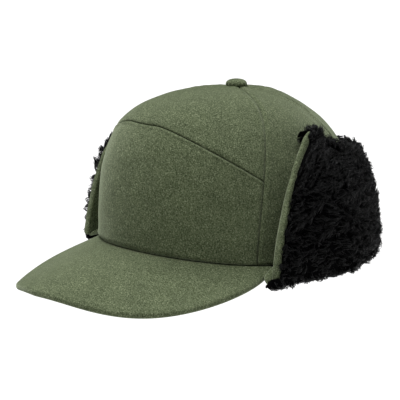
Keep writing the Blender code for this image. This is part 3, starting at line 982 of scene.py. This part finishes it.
def flap_sherpa(length):
    """The sherpa of one length: its dense bed, and the pile that stands on it."""
    u, v = shares(60, 70)
    if length.index == 0:
        u = u ** 1.5
    bed, back = sherpa_bed(length, u, v)
    base = shell_parts(lumpy(bed, 0.006, 0.00035, 41), back)
    # The pile is short at the fold and over the upper edge, where it is stroked flat.
    share = 0.55 + 0.45 * smooth_step(v, 0.0, 0.15) - 0.45 * smooth_step(v, 0.84, 1.0) + 0.0 * u
    if length.index == 0:
        share = share * (1.0 - 0.85 * smooth_step(v, 0.5, 0.8) * (1.0 - smooth_step(u, 0.0, 0.4)))
    strands = pile(bed, length.seed(100), share)
    node = f"{length.name}_sherpa"
    piece = pile_piece(f"{node}_pile", base, strands, length.side, length.body)
    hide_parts(node)
    length.flatten(piece)


def fold_sherpa(length):
    """The sherpa round the bottom of the fold."""
    u, v = shares(40, 24)
    inner = -0.0004 + 0.0 * u
    outer = FLAP_WOOL / 2 + PILE_BED - length.sag(u) - FOLD_SAG
    out = inner + (outer - inner) * (0.5 - 0.5 * np.cos(math.pi * v))
    drop = -0.0058 * np.sin(math.pi * (0.15 + 0.85 * v)) ** 0.8 + 0.0022 * v
    along = length.under_fold(u, out)
    bed = length.upright(along, out, drop)
    inside = length.upright(along, inner * 0.5 + out * 0.5, drop * 0.3 + 0.0012)
    share = 0.12 + 0.88 * smooth_step(v, 0.0, 0.5) + 0.0 * u
    strands = pile(bed, length.seed(200), share, tall=0.0030, lean=0.0024)
    piece = pile_piece(f"{length.name}_sherpa_fold", shell_parts(bed, inside), strands,
                       length.side, length.body)
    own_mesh(piece)


def edge_sherpa(length):
    """The sherpa between the crown's bottom edge and the fold, which stays with the crown."""
    u, v = shares(40, 14)
    inner = length.wall(u, 0.0) - 0.0035
    out = inner + (-0.0024 - inner) * v
    along = length.under_fold(u, out, EAR_STRIP_SLANT)
    drop = 0.0030 - 0.0080 * np.sin(math.pi / 2 * v) ** 0.8
    bed = length.upright(along, out, drop)
    back = length.upright(along, out, drop + 0.0012)
    strands = pile(bed, length.seed(300), tall=0.0026, lean=0.0024)
    pile_piece(f"{length.name}_sherpa_edge", shell_parts(bed, back), strands, length.side,
               "crown")


def fold_welt(length):
    """The fold's own wool: a rounded strip from the crown's edge out to the fold line."""
    u, v = shares(60 * FINE, 20)
    share = v ** 0.6
    up = 0.0085 - 0.0101 * v ** 1.5
    wall = length.wall(u, 0.004) + 0.0003
    near = -0.0009 - up * math.tan(LEAN) - FLAP_WOOL / 2
    near = near + 0.0022 * smooth_step(-up, 0.0, 0.0014)
    out = np.minimum(wall * (1.0 - share), near)
    along = length.under_fold(u, out, EAR_STRIP_SLANT)
    outer = length.upright(along, out, up)[::-1]
    inner = length.upright(along, out - 0.0012, up - 0.0004)[::-1]
    cloth(f"{length.name}_fold_wool", (outer, inner), length.side, WOOL_LOOK, "crown",
          cut_size(outer))


def rounded_box(cosine_or_sine):
    """Makes a circle's coordinate that of a box with round corners."""
    return np.sign(cosine_or_sine) * np.abs(cosine_or_sine) ** 0.62


def ear_facing(length):
    """The ear flap's front edge, where its wool turns over onto the sherpa."""
    steps, rows = 28, int(150 * FINE)
    v = np.linspace(0.0, 1.0, rows)[:, None]
    turn = np.linspace(0.0, 2 * math.pi, steps, endpoint=False)[None, :]
    # Up the front edge, then round the upper corner, where it narrows to nothing.
    u = 0.55 * np.maximum(v - FACING_TURN, 0.0) / (1.0 - FACING_TURN)
    height = np.where(v < FACING_TURN, -0.001 + (length.top(0.0) + 0.001) * v / FACING_TURN,
                      length.top(u))
    start, end = length.ends(height, 0.0)
    path = start + (end - start) * u
    rounding = math.pi / 2 * smooth_step(u, -0.25, 0.55)
    fading = np.sqrt(np.clip(1.0 - (np.maximum(v - 0.80, 0.0) / 0.20) ** 2, 0.01, 1.0))
    foot = np.sqrt(np.clip(1.0 - (np.maximum(0.03 - v, 0.0) / 0.03) ** 2, 0.02, 1.0))
    top = 0.0042 - 0.0030 * smooth_step(v, 0.35, 0.84)
    bottom = -FLAP_WOOL / 2 - 0.0003
    middle, half = (top + bottom) / 2, (top - bottom) / 2 * fading * foot
    offset = middle + half * rounded_box(np.sin(turn))
    inward = 0.0022 * fading * foot * (0.8 + rounded_box(np.cos(turn)))
    along = path + inward * np.cos(rounding)
    height = height - inward * np.sin(rounding)
    grid = length.place(along, height, offset - length.hug(u, height))
    closed = np.concatenate([grid, grid[:, :1]], axis=1)
    normals = -grid_normals(closed)[:, :-1]
    ripple = 0.00012 * waves(grid, 0.009, 51) + 0.00020 * waves(grid, 0.028, 52)
    grid = grid - normals * (ripple * fading)[..., None]
    faces = [quads_of_grid(rows, steps, 0, ring=True)[:, ::-1],
             np.arange(steps)[None, :], np.arange(steps)[None, ::-1] + (rows - 1) * steps]
    points, faces = mirrored(grid.reshape(-1, 3), faces, length.side)
    piece = new_piece(f"{length.name}_facing_cloth", points, faces, WOOL_LOOK)
    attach(piece, length.body)
    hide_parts(f"{length.name}_facing")
    length.flatten(piece)


def make_flap_band():
    lengths = [(index, side) for index, word in enumerate(LENGTHS)
               for side in ((1,) if word == "neck" else (1, -1))]
    for index, side in lengths:
        length = Length(index, side)
        flap_wool(length)
        flap_sherpa(length)
        fold_sherpa(length)
        edge_sherpa(length)
        fold_welt(length)
        if index == 0:
            ear_facing(length)


# ---- studio

def make_floor():
    """A plain pale floor."""
    half = 9.0
    mesh = bpy.data.meshes.new("floor")
    corners = [(-half, -half, 0), (half, -half, 0), (half, half, 0), (-half, half, 0)]
    mesh.from_pydata(corners, [], [(0, 1, 2, 3)])
    floor = bpy.data.objects.new("floor", mesh)
    floor.location = (0.0, 0.0, FLOOR_Z)
    bpy.context.scene.collection.objects.link(floor)
    look = Look("floor", 0.9)
    look.put(look.shader, {"Base Color": (0.82, 0.82, 0.82, 1.0), "Specular IOR Level": 0.1})
    mesh.materials.append(look.material)


def make_light():
    world = bpy.data.worlds.new("studio")
    world.use_nodes = True
    background = world.node_tree.nodes["Background"]
    background.inputs["Color"].default_value = (1.0, 1.0, 1.0, 1.0)
    background.inputs["Strength"].default_value = 0.070
    bpy.context.scene.world = world
    for name, strength, spread, towards in (
            ("top_light", 4.30, 55, (0.13, 0.06, -1.0)),
            ("left_light", 0.20, 50, (1.0, 0.1, -0.45))):
        lamp = bpy.data.lights.new(name, "SUN")
        lamp.energy = strength
        lamp.angle = math.radians(spread)
        item = bpy.data.objects.new(name, lamp)
        item.rotation_euler = Vector(towards).to_track_quat("-Z", "Y").to_euler()
        bpy.context.scene.collection.objects.link(item)


def make_camera():
    """The photograph's viewpoint: 48 degrees to the wearer's left and 11 degrees up."""
    azimuth = math.radians(48)
    elevation = math.radians(11)
    distance = 1.588
    aim = Vector((0.0, 0.0, 0.0561))
    back = Vector((math.sin(azimuth) * math.cos(elevation),
                   -math.cos(azimuth) * math.cos(elevation), math.sin(elevation)))
    side = Vector((math.cos(azimuth), math.sin(azimuth), 0.0))
    # The hat lies above and to the right of the middle of the picture, by this much.
    right_by, up_by = 0.0259, 0.0270
    towards = aim - side * right_by - back.cross(side) * up_by
    camera_place = aim + back * distance
    view = bpy.data.cameras.new("camera")
    view.lens = 198.5
    view.sensor_width = 36.0
    camera = bpy.data.objects.new("camera", view)
    camera.rotation_euler = (towards - camera_place).to_track_quat("-Z", "Y").to_euler()
    camera.location = camera_place
    view.clip_end = 60.0
    bpy.context.scene.collection.objects.link(camera)
    bpy.context.scene.camera = camera
    bpy.context.scene.view_settings.view_transform = "Standard"


make_crown()
make_crown_inside()
bill_cover("top")
bill_cover("bottom")
make_button()
make_flap_band()
make_floor()
make_light()
make_camera()
